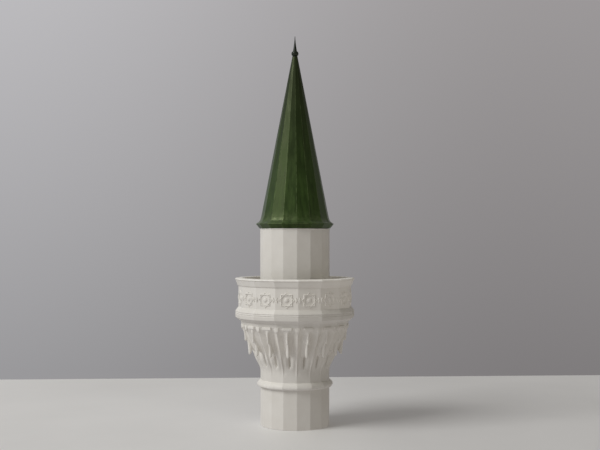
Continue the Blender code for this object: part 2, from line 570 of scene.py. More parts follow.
@dataclass(frozen=True)
class CastWhite:
    """Matte off-white casting: faint clouds and fine grain, with painted highlight on edges and
    painted shade in hollows.

    Its tone can drift across and up a piece, each from a first factor to a second, as painted
    light and painted shade.
    """

    slot: Slot = Slot.CAST_WHITE
    body: Colour = (0.690, 0.668, 0.622)
    cloud: Colour = (0.735, 0.715, 0.672)
    # Pale colour painted on edges as highlight.
    edge: Colour = (0.80, 0.785, 0.75)
    # Colour painted in hollows as shade.
    painted_shade: Colour = (0.64, 0.615, 0.565)
    roughness: Span = (0.46, 0.62)
    specular: float = 0.42
    # Tone factors across and up a piece, for painted light and painted shade.
    across: Span = (1.0, 1.0)
    upwards: Span = (1.0, 1.0)
    across_span: Span = (-0.05, 0.05)
    upwards_span: Span = (0.055, 0.085)
    # Bend ranges for the painted highlight on edges and the painted shade in hollows.
    highlight_bend: Span = (0.53, 0.65)
    highlight_share: float = 0.8
    shade_bend: Span = (0.40, 0.49)
    clouds: Pattern = Pattern(38.0, 3.0, 0.55, (0.35, 0.65))
    patches: Pattern = Pattern(260.0, 3.0, span=(0.40, 0.62))
    patch_shares: Span = (0.15, 0.75)
    smears: Pattern = Pattern(140.0, 3.0)
    ripple: Texture = Texture(Pattern(75.0), 0.0006, 0.35)
    grain: Texture = Texture(Pattern(1900.0, 3.0, 0.6), 0.00008, 0.55)

    def material(self) -> Material:
        """Builds the finish for pieces with stored edge paleness, painted as highlight."""
        sheet = NodeSheet(bpy.data.materials.new(self.slot.value))
        highlight_and_wear = sheet.add("ShaderNodeAttribute", attribute_name="highlight_and_wear").outputs["Fac"]
        return self._finish(sheet, highlight_and_wear, None)

    def carved(self) -> Material:
        """Builds the finish for dense carved pieces, whose bends give painted highlight on edges
        and painted shade in hollows.
        """
        sheet = NodeSheet(bpy.data.materials.new(self.slot.value + "_carved"))
        bend = sheet.add("ShaderNodeNewGeometry").outputs["Pointiness"]
        # Sharp bends are paled as painted highlight.
        highlight_and_wear = sheet.spread(bend, *self.highlight_bend, 0.0, self.highlight_share)
        # Hollow bends are darkened as painted shade.
        shade_mask = sheet.spread(bend, *self.shade_bend, 1.0, 0.0)
        return self._finish(sheet, highlight_and_wear, shade_mask)

    def _finish(
        self,
        sheet: NodeSheet,
        highlight_and_wear: Socket,
        shade_mask: Socket | None,
    ) -> Material:
        """Joins the finish's layers.

        Args:
            sheet: The node tree to fill.
            highlight_and_wear: How pale an edge is as painted highlight, from 0 to 1.
            shade_mask: How much painted shade darkens a hollow, from 0 to 1, where it is known.

        Returns:
            The finished material.
        """
        colour = sheet.blend(sheet.spotted(self.clouds), self.body, self.cloud)
        patchy = sheet.spotted(self.patches, *self.patch_shares)
        # Pale edges: painted highlight, broken into patches.
        colour = sheet.blend(sheet.combine(highlight_and_wear, patchy), colour, self.edge)
        # Painted shade in hollows, where their bend is known.
        if shade_mask:
            colour = sheet.blend(shade_mask, colour, self.painted_shade)
        # Drifts of tone across and up the piece: painted light and painted shade.
        for name, span, tones in (
            ("X", self.across_span, self.across),
            ("Z", self.upwards_span, self.upwards),
        ):
            if tones[0] != tones[1]:
                colour = sheet.scaled(colour, sheet.spread(sheet.axis(name), *span, *tones))
        sheet.paint(colour, sheet.spotted(self.smears, *self.roughness), self.specular)
        sheet.roughen(self.ripple, self.grain)
        return sheet.owner


@dataclass(frozen=True)
class PaintedGreen:
    """Dark green satin paint, drawn out in brush streaks up the roof, darker towards the top as
    painted shade, and paler on the ridges and eave as rubbed paint that also serves as painted
    highlight.
    """

    slot: Slot = Slot.ROOF_GREEN
    body: Colour = (0.0115, 0.0275, 0.0056)
    streak: Colour = (0.0280, 0.0590, 0.0115)
    # Darker paint for the top, painted shade.
    top_shade: Colour = (0.0062, 0.0120, 0.0036)
    # Paler green for rubbed paint on ridges and eave, also serving as painted highlight.
    worn_and_highlight: Colour = (0.105, 0.145, 0.060)
    sheen: Colour = (0.86, 1.0, 0.52)
    specular: float = 0.42
    roughness: Span = (0.28, 0.48)
    dull_heights: Span = (0.25, 0.37)
    dulling: float = 0.12
    strokes: Pattern = Pattern(260.0, 4.0, 0.6, (0.36, 0.68), stretch=(1.0, 1.0, 0.03))
    stroke_gloss: Span = (0.35, 0.65)
    patches: Pattern = Pattern(210.0, 3.0, 0.6, (0.38, 0.64))
    patch_shares: Span = (0.1, 0.9)
    swell: Texture = Texture(Pattern(26.0, 1.0, stretch=(1.0, 1.0, 0.25)), 0.0016, 0.5)
    brushed_depth: float = 0.00016
    brushed_strength: float = 0.6

    def material(self) -> Material:
        """Builds the finish."""
        sheet = NodeSheet(bpy.data.materials.new(self.slot.value))
        colour = sheet.blend(sheet.spotted(self.strokes), self.body, self.streak)
        climb = sheet.axis("Z")
        # Painted shade: the paint darkens towards the top.
        colour = sheet.blend(sheet.spread(climb, *self.dull_heights, 0.0, 1.0), colour, self.top_shade)
        # Paler ridges and eave: rubbed paint that also serves as painted highlight.
        highlight_and_wear = sheet.add("ShaderNodeAttribute", attribute_name="highlight_and_wear").outputs["Fac"]
        patchy = sheet.spotted(self.patches, *self.patch_shares)
        colour = sheet.blend(sheet.combine(highlight_and_wear, patchy), colour, self.worn_and_highlight)
        gloss = sheet.spread(sheet.noise(self.strokes), *self.stroke_gloss, *self.roughness)
        dulled = sheet.spread(climb, *self.dull_heights, 0.0, self.dulling)
        sheet.paint(colour, sheet.combine(gloss, dulled, "ADD"), self.specular)
        sheet.shader.inputs["Specular Tint"].default_value = (*self.sheen, 1.0)
        brushed = Texture(self.strokes, self.brushed_depth, self.brushed_strength)
        sheet.roughen(self.swell, brushed)
        return sheet.owner


@dataclass(frozen=True)
class DarkEnamel:
    """Near-black green enamel on the turned finial."""

    slot: Slot = Slot.FINIAL_DARK
    body: Colour = (0.008, 0.013, 0.007)
    bloom: Colour = (0.022, 0.030, 0.018)
    bloom_share: float = 0.8
    roughness: Span = (0.26, 0.42)
    specular: float = 0.28
    clouds: Pattern = Pattern(420.0, 3.0, span=(0.4, 0.7))
    smears: Pattern = Pattern(500.0)
    pits: Texture = Texture(Pattern(1500.0, 3.0), 0.00006, 0.5)

    def material(self) -> Material:
        """Builds the finish."""
        sheet = NodeSheet(bpy.data.materials.new(self.slot.value))
        clouds = sheet.spotted(self.clouds, 0.0, self.bloom_share)
        colour = sheet.blend(clouds, self.body, self.bloom)
        sheet.paint(colour, sheet.spotted(self.smears, *self.roughness), self.specular)
        sheet.roughen(self.pits)
        return sheet.owner


@dataclass
class Workshop:
    """Dresses each finished piece: its material, its body and what it stands for."""

    finishes: dict[str, Material] = field(default_factory=dict)
    made: int = 0

    def dress(
        self, piece: Piece, finish: str, slot: Slot, nodes: Sequence[str] = ()
    ) -> None:
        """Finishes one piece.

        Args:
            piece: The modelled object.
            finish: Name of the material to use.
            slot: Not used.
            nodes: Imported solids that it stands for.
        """
        piece.data.materials.clear()
        piece.data.materials.append(self.finishes[finish])
        if nodes:
            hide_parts(*nodes)
        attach(piece, "root")
        self.made += 1
        LOG.info("%s: %d faces", piece.name, len(piece.data.polygons))

    def mould(
        self,
        moulding: Moulding,
        nodes: Sequence[str],
        finish: str = "white",
        slot: Slot = Slot.CAST_WHITE,
    ) -> None:
        """Models a moulding and dresses it."""
        self.dress(moulding.build(), finish, slot, nodes)


@dataclass
class Shafts:
    """The lower and upper shafts, the ring on the lower one and the lip on the upper.

    The ring's underside is measured from its low edge and its back from its high edge.
    """

    edge: float = 0.00035
    seam: float = 0.00035
    # Third numbers of the ring's turns pale its nose and upper slope as painted highlight.
    ring_under: tuple[Turn, ...] = (
        Turn(0.0039, 0.0),
        Turn(0.0035, 0.0001),
        Turn(0.0024, 0.0003),
        Turn(0.0012, 0.0008),
        Turn(0.0004, 0.0014, 0.5),
        Turn(0.0001, 0.0021, 0.8),
        Turn(0.0, 0.0029, 0.8),
    )
    ring_back: tuple[Turn, ...] = (
        Turn(0.0001, -0.0038, 0.6),
        Turn(0.0004, -0.0030, 0.3),
        Turn(0.0009, -0.0021),
        Turn(0.0016, -0.0012),
        Turn(0.0024, -0.0005),
        Turn(0.0031, 0.0),
        Turn(0.0036, 0.0004),
        Turn(0.0042, 0.0008),
    )
    lip_foot: float = 0.001
    lip_nose: float = 0.0006
    lip_lap: float = 0.0002

    def build(self, workshop: Workshop) -> None:
        """Models and dresses the shafts."""
        self._plain("lower_shaft", workshop)
        self._ring(workshop)
        self._plain("upper_shaft", workshop)
        self._lip(workshop)

    def _plain(self, node: str, workshop: Workshop) -> None:
        """A plain shaft with softened rims.

        Args:
            node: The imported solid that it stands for.
            workshop: What dresses it.
        """
        size = extent(node)
        levels = [
            Level(size.radius - self.edge, size.low),
            Level(size.radius, size.low + self.edge),
            Level(size.radius, size.high - self.edge),
            Level(size.radius, size.high + self.seam),
        ]
        workshop.mould(Moulding(node + "_body", levels), [node])

    def _ring(self, workshop: Workshop) -> None:
        """The ring moulding: half round, with a soft slope into the collar above."""
        size = extent("shaft_ring")
        levels = placed(self.ring_under, size.radius, size.low)
        levels += placed(self.ring_back, size.radius, size.high)
        workshop.mould(Moulding("ring_moulding", levels), ["shaft_ring"])

    def _lip(self, workshop: Workshop) -> None:
        """The thin band at the top of the upper shaft."""
        size = extent("shaft_lip")
        inner = extent("upper_shaft").radius - self.lip_foot
        # The nose is paled as painted highlight.
        nose = Bead(self.lip_nose, 0.0, (self.lip_nose, size.height / 2), -90, 90, 6, highlight_and_wear=0.8)
        levels = [
            Level(inner, size.low - self.lip_lap),
            *nose.levels(size.radius, size.middle),
            Level(inner, size.high),
        ]
        workshop.mould(Moulding("lip_band", levels), ["shaft_lip"])


class Section(Enum):
    """Shape of an ornament's cross-section: round, or square with a blunt prow outwards."""

    ROUND = "round"
    PROW = "prow"


@dataclass(frozen=True)
class Station:
    """One cross-section of an ornament: height, outer reach, half its depth and half its width."""

    height: float
    reach: float
    depth: float
    width: float

    @property
    def centre(self) -> float:
        """Distance from the axis to the cross-section's centre."""
        return self.reach - self.depth


@dataclass(frozen=True)
class Ornament:
    """A piece of carving on one radius, drawn up through its stations from the lowest."""

    name: str
    section: Section
    stations: tuple[Station, ...]
    azimuth: float = 0.0
    prow: float = 0.0
    round_sides: int = 10

    def build(self) -> Piece:
        """Models the ornament.

        Returns:
            The object, turned to its azimuth.
        """
        if self.section is Section.ROUND:
            piece = disc(self.name, self.round_sides)
        else:
            clear_selection()
            bpy.ops.mesh.primitive_plane_add(size=2.0)
            piece = new_piece(self.name)
        with editing(piece):
            if self.section is Section.PROW:
                self._push_out_prow(piece)
            select_all()
            first = self.stations[0]
            bpy.ops.transform.resize(value=(first.depth, first.width, 1.0))
            move(first.centre, 0.0, first.height)
            for here, after in zip(self.stations, self.stations[1:]):
                self._draw(here, after)
            face_out()
            bpy.ops.transform.rotate(
                value=-self.azimuth, orient_axis="Z", center_override=(0.0, 0.0, 0.0)
            )
        return piece

    def _push_out_prow(self, piece: Piece) -> None:
        """Splits the square down its middle and draws its outer corners back."""
        select_all()
        bpy.ops.mesh.bisect(plane_co=(0.0, 0.0, 0.0), plane_no=(0.0, 1.0, 0.0))
        pick(piece, lambda place: place.x > 0.5 and abs(place.y) > 0.5)
        move(-self.prow, 0.0, 0.0)

    @staticmethod
    def _draw(here: Station, after: Station) -> None:
        """Extrudes the selected cross-section from one station to the next."""
        extrude(after.height - here.height)
        bpy.ops.transform.resize(
            value=(after.depth / here.depth, after.width / here.width, 1.0),
            center_override=(here.centre, 0.0, after.height),
        )
        move(after.centre - here.centre, 0.0, 0.0)


@dataclass(frozen=True)
class Fold:
    """One level of the folded body.

    The corner is a radius. The others say how far the surface lies behind the plain facet at
    the corner's foot, at the quarter, at the drop's edge and in mid-face.
    """

    height: float
    corner: float
    foot: float
    quarter: float
    edge: float
    middle: float

    def radii(self) -> list[float]:
        """Radii of a half cell's points, from the corner to mid-face."""
        depths = (
            0.0,
            self.foot,
            (self.foot + self.quarter) / 2,
            self.quarter,
            (self.quarter + self.edge) / 2,
            self.edge,
            self.middle,
        )
        apothem = self.corner * FLAT_SHARE
        step = CELL / 2 / (len(depths) - 1)
        return [
            apothem / math.cos(CELL / 2 - i * step) - depth for i, depth in enumerate(depths)
        ]


@dataclass
class FoldedBody:
    """A body of sixteen like cells, drawn up fold by fold from one outline."""

    name: str
    folds: Sequence[Fold]
    points: int = 12

    def build(self) -> Piece:
        """Models the body.

        Returns:
            The object, at the origin.
        """
        first = self.folds[0]
        piece = disc(self.name, SIDES * self.points, first.corner)
        with editing(piece):
            select_all()
            move(0.0, 0.0, first.height)
            reached = [first.corner] * (self.points // 2 + 1)
            reached = self._shape(piece, first, reached)
            for here, after in zip(self.folds, self.folds[1:]):
                self._pick(piece, here.height)
                extrude(after.height - here.height)
                reached = self._shape(piece, after, reached)
            face_out()
        return piece

    def _shape(
        self, piece: Piece, fold: Fold, reached: Sequence[float]
    ) -> list[float]:
        """Moves the newest outline's points to the fold's radii.

        Args:
            piece: The body, in edit mode.
            fold: The level that the outline is at.
            reached: The radii that its points have now.

        Returns:
            The radii that they have afterwards.
        """
        radii = fold.radii()
        for step, (radius, before) in enumerate(zip(radii, reached)):
            self._pick(piece, fold.height, step)
            scale(radius / before, fold.height)
        return radii

    def _pick(self, piece: Piece, height: float, step: int | None = None) -> None:
        """Selects an outline, or its points at one step from the corners.

        Args:
            piece: The body, in edit mode.
            height: The outline's height.
            step: Steps from the nearest corner, or None for them all.
        """
        pitch = CELL / self.points

        def wanted(place: Vector) -> bool:
            """Tells whether a point is at the height and, if one is asked, at the step."""
            angle = math.atan2(place.y, place.x) % CELL
            off = round(min(angle, CELL - angle) / pitch)
            return abs(place.z - height) < NEAR and step in (None, off)

        pick(piece, wanted)


# The corbel's folded core, from the ring to the cap.
CORE = (
    Fold(0.0485, 0.0373, 0.0, 0.0, 0.0, 0.0),
    Fold(0.0510, 0.0373, 0.0, 0.0, 0.0, 0.0),
    Fold(0.0530, 0.0373, 0.0, 0.0, 0.0, 0.0),
    Fold(0.0548, 0.0373, 0.0, 0.0, 0.0, 0.0),
    Fold(0.0566, 0.0373, 0.0002, 0.0, 0.0, 0.0),
    Fold(0.0586, 0.0374, 0.0004, 0.0, 0.0, 0.0),
    Fold(0.0602, 0.03755, 0.0006, 0.0001, 0.0, 0.0),
    Fold(0.0618, 0.0379, 0.0007, 0.0002, 0.0001, 0.0001),
    Fold(0.0636, 0.0385, 0.0009, 0.0003, 0.0002, 0.0003),
    Fold(0.0652, 0.0392, 0.0011, 0.0004, 0.0005, 0.0014),
    Fold(0.0668, 0.0401, 0.0013, 0.0006, 0.0012, 0.0034),
    Fold(0.0685, 0.0411, 0.0015, 0.0008, 0.0020, 0.0048),
    Fold(0.0710, 0.0424, 0.0016, 0.0010, 0.0024, 0.0058),
    Fold(0.0740, 0.0436, 0.0016, 0.0012, 0.0026, 0.0064),
    Fold(0.0765, 0.0445, 0.0015, 0.0016, 0.0028, 0.0062),
    Fold(0.0782, 0.0452, 0.0014, 0.0023, 0.0028, 0.0042),
    Fold(0.0800, 0.0459, 0.0013, 0.0029, 0.0024, 0.0008),
    Fold(0.0830, 0.0471, 0.0012, 0.0034, 0.0016, -0.0020),
    Fold(0.0880, 0.0496, 0.0012, 0.0036, 0.0010, -0.0022),
    Fold(0.0910, 0.0511, 0.0012, 0.0036, 0.0008, -0.0018),
    Fold(0.0950, 0.0530, 0.0012, 0.0036, 0.0006, -0.0018),
    Fold(0.1000, 0.0552, 0.0012, 0.0036, 0.0008, -0.0010),
    Fold(0.1035, 0.0568, 0.0012, 0.0030, 0.0012, -0.0002),
    Fold(0.1055, 0.0576, 0.0010, 0.0018, 0.0010, 0.0002),
    Fold(0.1072, 0.0580, 0.0006, 0.0010, 0.0006, 0.0001),
    Fold(0.1094, 0.0582, 0.0003, 0.0004, 0.0002, 0.0),
)
# The upper hanging drop in mid-face, from its tip to its head under the bar.
DROP_UPPER = (
    Station(0.0917, 0.0549, 0.0003, 0.0003),
    Station(0.0922, 0.0553, 0.0010, 0.0008),
    Station(0.0935, 0.0557, 0.0014, 0.0011),
    Station(0.0955, 0.0558, 0.0016, 0.0009),
    Station(0.0985, 0.0561, 0.0018, 0.0009),
    Station(0.1010, 0.0564, 0.0020, 0.0011),
    Station(0.1028, 0.0567, 0.0020, 0.0017),
    Station(0.1045, 0.0570, 0.0020, 0.0027),
    Station(0.1058, 0.0573, 0.0020, 0.0039),
    Station(0.1064, 0.0575, 0.0020, 0.0044),
)
# The lower hanging drop in mid-face, from its tip to where it ends behind the upper one.
DROP_LOWER = (
    Station(0.0770, 0.0505, 0.0003, 0.0003),
    Station(0.0775, 0.0510, 0.0010, 0.0011),
    Station(0.0788, 0.0513, 0.0016, 0.0017),
    Station(0.0812, 0.0515, 0.0020, 0.0019),
    Station(0.0850, 0.0518, 0.0022, 0.0018),
    Station(0.0890, 0.0523, 0.0022, 0.0015),
    Station(0.0920, 0.0530, 0.0020, 0.0012),
    Station(0.0940, 0.0536, 0.0016, 0.0008),
)
# The flat bar over the upper drop.
BAR = (
    Station(0.1063, 0.0577, 0.0026, 0.0049),
    Station(0.1066, 0.0580, 0.0026, 0.0052),
    Station(0.1084, 0.0581, 0.0026, 0.0052),
    Station(0.1094, 0.0582, 0.0026, 0.0050),
)
# The bracket on a corner, between two bars.
BRACKET = (
    Station(0.1032, 0.0568, 0.0016, 0.0006),
    Station(0.1042, 0.0577, 0.0022, 0.0016),
    Station(0.1052, 0.0581, 0.0024, 0.0021),
    Station(0.1064, 0.0583, 0.0026, 0.0023),
    Station(0.1084, 0.0583, 0.0026, 0.0023),
    Station(0.1094, 0.0583, 0.0026, 0.0022),
)


@dataclass
class Corbel:
    """The stalactite corbel: one casting of a folded core and hanging drops, and its cap.

    The cap's foot and cove are measured from its low edge and its head from its high edge.
    The cove's first turn is left out, so that the foot runs smoothly into it.
    """

    voxel: float = 0.0004
    softening: float = 0.5
    passes: int = 3
    kept_share: float = 0.28
    nodes: tuple[str, ...] = ("corbel_collar", *(f"muqarnas_tier_{i}" for i in range(1, 5)))
    bracket_prow: float = 0.1
    cap_foot: tuple[Turn, ...] = (
        Turn(0.0040, -0.0002),
        Turn(0.0016, -0.0001),
        Turn(0.0015, 0.0004),
    )
    cap_cove: Bead = Bead(0.0, 0.0012, (0.0013, 0.0034), 180, 110, 6)
    cap_head: tuple[Turn, ...] = (Turn(0.0, -0.0006), Turn(0.0002, 0.0004))

    def build(self, workshop: Workshop) -> None:
        """Models and dresses the corbel."""
        self._casting(workshop)
        self._cap(workshop)

    def _casting(self, workshop: Workshop) -> None:
        """Fuses the core and sixteen cells of carving, and softens them."""
        core = FoldedBody("corbel_core", CORE).build()
        piece = join([core, *on_every_side(self._cell())], "corbel_casting")
        apply_modifier(
            piece, "Fuse", "REMESH", mode="VOXEL", voxel_size=self.voxel, adaptivity=0.0
        )
        apply_modifier(piece, "Soften", "SMOOTH", factor=self.softening, iterations=self.passes)
        apply_modifier(piece, "Thin", "DECIMATE", ratio=self.kept_share)
        activate(piece)
        bpy.ops.object.shade_smooth()
        workshop.dress(piece, "carved", Slot.CAST_WHITE, self.nodes)

    def _cell(self) -> Piece:
        """The carving of one corner and the face beside it."""
        middle = CELL / 2
        ornaments = (
            Ornament("bracket", Section.PROW, BRACKET, prow=self.bracket_prow),
            Ornament("bar", Section.PROW, BAR, middle),
            Ornament("drop_upper", Section.ROUND, DROP_UPPER, middle),
            Ornament("drop_lower", Section.ROUND, DROP_LOWER, middle),
        )
        return join([ornament.build() for ornament in ornaments], "cell")

    def _cap(self, workshop: Workshop) -> None:
        """The plain cove between the carving and the cornice."""
        size = extent("corbel_cap")
        levels = [
            *placed(self.cap_foot, size.radius, size.low),
            *self.cap_cove.levels(size.radius, size.low)[1:],
            *placed(self.cap_head, size.radius, size.high),
        ]
        workshop.mould(Moulding("cap_cove", levels), ["corbel_cap"])


@dataclass
class Balcony:
    """The cornice, the floor, the parapet wall and its coping.

    The cornice's underside is measured from its low edge, its grooved edge from its high edge,
    and its joint from the wall's outside. The coping's foot is measured from there too, its
    fascia from its low edge, its lip from its high edge and its back from the wall's inside.
    """

    cornice_under: tuple[Turn | Bead, ...] = (
        Turn(0.0052, -0.0016),
        Turn(0.0034, -0.0010),
        Turn(0.0026, -0.0002),
        Turn(0.0016, 0.0008),
        Bead(0.0009, 0.0018, (0.0005, 0.0005), -60, 0, 3),
    )
    # Third numbers of the beads pale them as painted highlight.
    cornice_edge: tuple[Turn | Bead, ...] = (
        Turn(0.0002, -0.0094),
        Bead(0.0006, -0.0080, (0.0006, 0.0005), 0, 80, 4, highlight_and_wear=0.5),
        Turn(0.0004, -0.0073),
        Bead(0.0006, -0.0063, (0.0006, 0.0007), -75, 75, 6, highlight_and_wear=0.8),
        Turn(0.0004, -0.0053),
        Bead(0.0004, -0.0046, (0.0004, 0.0004), -60, 60, 4, highlight_and_wear=0.8),
        Turn(0.0005, -0.0040),
        Turn(0.0012, -0.0028),
        Turn(0.0021, -0.0016),
    )
    cornice_joint: tuple[Turn, ...] = (
        Turn(-0.0006, -0.0008),
        Turn(-0.0001, -0.0002),
        Turn(0.0008, 0.0002),
    )
    floor_lap: float = 0.0008
    floor_drop: float = 0.0004
    floor_fall: float = 0.0002
    floor_crown: float = 0.8
    wall_foot: float = 0.0012
    wall_head: float = 0.0004
    coping_bed: float = 0.0002
    coping_foot: tuple[Turn, ...] = (
        Turn(0.0004, -0.0006),
        Turn(-0.0001, -0.0002),
        Turn(-0.0003, 0.0),
        Turn(-0.0007, 0.0002),
        Turn(-0.0010, 0.0006),
        Turn(-0.0012, 0.0012),
    )
    # Third numbers pale the fascia a little and the lip fully, as painted highlight.
    coping_fascia: tuple[Turn, ...] = (Turn(0.0018, 0.0030, 0.3), Turn(0.0009, 0.0054, 0.3))
    coping_lip: tuple[Turn, ...] = (
        Turn(0.0007, -0.0025, 0.3),
        Turn(0.0009, -0.0022),
        Turn(0.0003, -0.0020, 0.6),
        Turn(0.0, -0.0017, 1.0),
        Turn(0.0001, -0.0012, 1.0),
        Turn(0.0004, -0.0006, 1.0),
        Turn(0.0008, -0.0002, 1.0),
        Turn(0.0014, 0.0, 1.0),
    )
    coping_back: tuple[Turn, ...] = (Turn(-0.0006, 0.0), Turn(0.0, -0.0006))

    def build(self, workshop: Workshop) -> None:
        """Models and dresses the balcony."""
        self._cornice(workshop)
        self._floor(workshop)
        self._wall(workshop)
        self._coping(workshop)

    def _cornice(self, workshop: Workshop) -> None:
        """The slab's edge: an undercut, a fascia, a bead between grooves and the weathering."""
        size = extent("cornice")
        levels = [
            *placed(self.cornice_under, size.radius, size.low),
            *placed(self.cornice_edge, size.radius, size.high),
            *placed(self.cornice_joint, PARAPET.corner_radius, size.high),
        ]
        workshop.mould(Moulding("cornice_moulding", levels), ["cornice"])

    def _floor(self, workshop: Workshop) -> None:
        """The gallery's floor, with a shallow fall to the wall."""
        size = extent("gallery_floor")
        rim = size.radius + self.floor_lap
        levels = [
            Level(rim, size.low - self.floor_drop),
            Level(rim, size.high - self.floor_fall),
            Level(size.radius * self.floor_crown, size.high),
        ]
        workshop.mould(Moulding("floor_slab", levels), ["gallery_floor"])

    def _wall(self, workshop: Workshop) -> None:
        """The parapet wall, all sixteen sides in one casting."""
        outer, inner = PARAPET.corner_radius, PARAPET.inner_radius
        low, high = PARAPET.low - self.wall_foot, PARAPET.high + self.wall_head
        levels = [Level(inner, low), Level(outer, low), Level(outer, high), Level(inner, high)]
        workshop.mould(Moulding("parapet_wall", levels, Ends.RING), PARAPET.nodes, "balcony")

    def _coping(self, workshop: Workshop) -> None:
        """The splayed coping: a fascia that leans out, and a rounded lip over a fine groove."""
        size = extent("coping_rim")
        inner, outer = PARAPET.inner_radius, PARAPET.corner_radius
        levels = [
            Level(inner, size.low - self.coping_bed),
            *placed(self.coping_foot, outer, size.low),
            *placed(self.coping_fascia, size.radius, size.low),
            *placed(self.coping_lip, size.radius, size.high),
            *placed(self.coping_back, inner, size.high),
        ]
        workshop.mould(Moulding("coping_moulding", levels, Ends.RING), ["coping_rim"], "balcony")


@dataclass(frozen=True)
class Parapet:
    """Sizes that the sixteen packed panels share."""

    nodes: tuple[str, ...]
    low: float
    high: float
    corner_radius: float
    inner_radius: float

    @classmethod
    def read(cls) -> Parapet:
        """Reads the panels' sizes from the frame."""
        nodes = tuple(f"parapet_panel_{side:02d}" for side in range(1, SIDES + 1))
        corners = [vertex.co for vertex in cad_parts[nodes[0]].data.vertices]
        reaches = [corner.xy.length for corner in corners]
        heights = [corner.z for corner in corners]
        return cls(nodes, min(heights), max(heights), max(reaches), min(reaches))


PARAPET = Parapet.read()


@dataclass
class Relief:
    """A raised star of two straps on each parapet face, with a boss and small lozenges."""

    middle: float = 0.1378
    rise: float = 0.00085
    sunk: float = 0.0002
    crisp: float = 50.0
    star: float = 0.0086
    strap: float = 0.00078
    strap_sides: int = 12
    turned_share: float = 0.84
    boss: float = 0.0026
    boss_sides: int = 32
    petals: int = 8
    petal_waist: float = 0.78
    boss_dome: tuple[float, ...] = (1.0, 0.93, 0.72, 0.40, 0.24)
    lozenge: Span = (0.0014, 0.0032)
    lozenge_off: float = 0.0101
    lozenge_share: float = 0.9
    lozenge_sunk: float = 0.35
    lozenge_dome: tuple[float, ...] = (1.0, 0.90, 0.74, 0.60, 0.48)

    def build(self, workshop: Workshop) -> None:
        """Models one face's relief, copies it to the others and dresses them as one piece."""
        motifs = [
            self._strap("strap_upright", 45.0, self.rise),
            self._strap("strap_turned", 0.0, self.rise * self.turned_share),
            self._boss(),
            self._lozenge(-self.lozenge_off),
            self._lozenge(self.lozenge_off),
        ]
        face = join(motifs, "face_relief")
        apothem = PARAPET.corner_radius * FLAT_SHARE
        upright = Matrix.Rotation(math.pi / 2, 4, "Y")
        out = Matrix.Translation((apothem, 0.0, self.middle))
        face.data.transform(Matrix.Rotation(CELL / 2, 4, "Z") @ out @ upright)
        piece = join(on_every_side(face), "parapet_relief")
        smooth(piece, self.crisp)
        workshop.dress(piece, "relief", Slot.CAST_WHITE)

    def _strap(self, name: str, turn: float, rise: float) -> Piece:
        """A square strap with a rounded back, lying on the face.

        Args:
            name: The strap's name.
            turn: Its turn on the face in degrees.
            rise: How far it stands out.

        Returns:
            The strap, flat on the ground and centred on the origin.
        """
        clear_selection()
        bpy.ops.mesh.primitive_torus_add(
            major_segments=4,
            minor_segments=self.strap_sides,
            major_radius=self.star - self.strap,
            minor_radius=self.strap,
        )
        piece = new_piece(name)
        with editing(piece):
            select_all()
            bpy.ops.transform.resize(value=(1.0, 1.0, rise / self.strap))
            bpy.ops.transform.rotate(
                value=math.radians(turn), orient_axis="Z", center_override=(0.0, 0.0, 0.0)
            )
            bpy.ops.mesh.bisect(
                plane_co=(0.0, 0.0, 0.0), plane_no=(0.0, 0.0, 1.0), clear_inner=True, use_fill=True
            )
            self._foot(piece)
        return piece

    def _boss(self) -> Piece:
        """The petalled boss in the star's middle."""
        piece = disc("boss", self.boss_sides, self.boss)
        with editing(piece):
            pick(piece, self._between_petals)
            scale(self.petal_waist, 0.0)
            self._dome(self.rise, self.boss_dome)
            self._foot(piece)
        return piece

    def _between_petals(self, place: Vector) -> bool:
        """Tells whether a point on the boss's outline lies between two petals."""
        return math.cos(self.petals * math.atan2(place.y, place.x)) < -0.5

    def _lozenge(self, off: float) -> Piece:
        """A small raised lozenge with a sunk middle.

        Args:
            off: Its place across the face.

        Returns:
            The lozenge, flat on the ground.
        """
        piece = disc("lozenge", 4)
        across, along = self.lozenge
        with editing(piece):
            select_all()
            bpy.ops.transform.resize(value=(along, across, 1.0))
            self._dome(self.rise * self.lozenge_share, self.lozenge_dome)
            move(0.0, 0.0, -self.rise * self.lozenge_sunk)
            self._foot(piece)
            select_all()
            move(0.0, off, 0.0)
        return piece

    def _dome(self, rise: float, shares: Sequence[float]) -> None:
        """Draws the selected outline up to a rounded top, leaving the top selected.

        Args:
            rise: Full height.
            shares: The outline's scale at each of the equal turns of the dome.
        """
        select_all()
        height = 0.0
        for i, (here, after) in enumerate(zip(shares, shares[1:]), start=1):
            next_height = rise * math.sin(math.pi / 2 * i / (len(shares) - 1))
            extrude(next_height - height)
            scale(after / here, next_height)
            height = next_height

    def _foot(self, piece: Piece) -> None:
        """Draws a motif's flat underside down into the wall, and closes its edges."""
        pick(piece, lambda place: abs(place.z) < NEAR)
        move(0.0, 0.0, -self.sunk)
        face_out(merge=True)


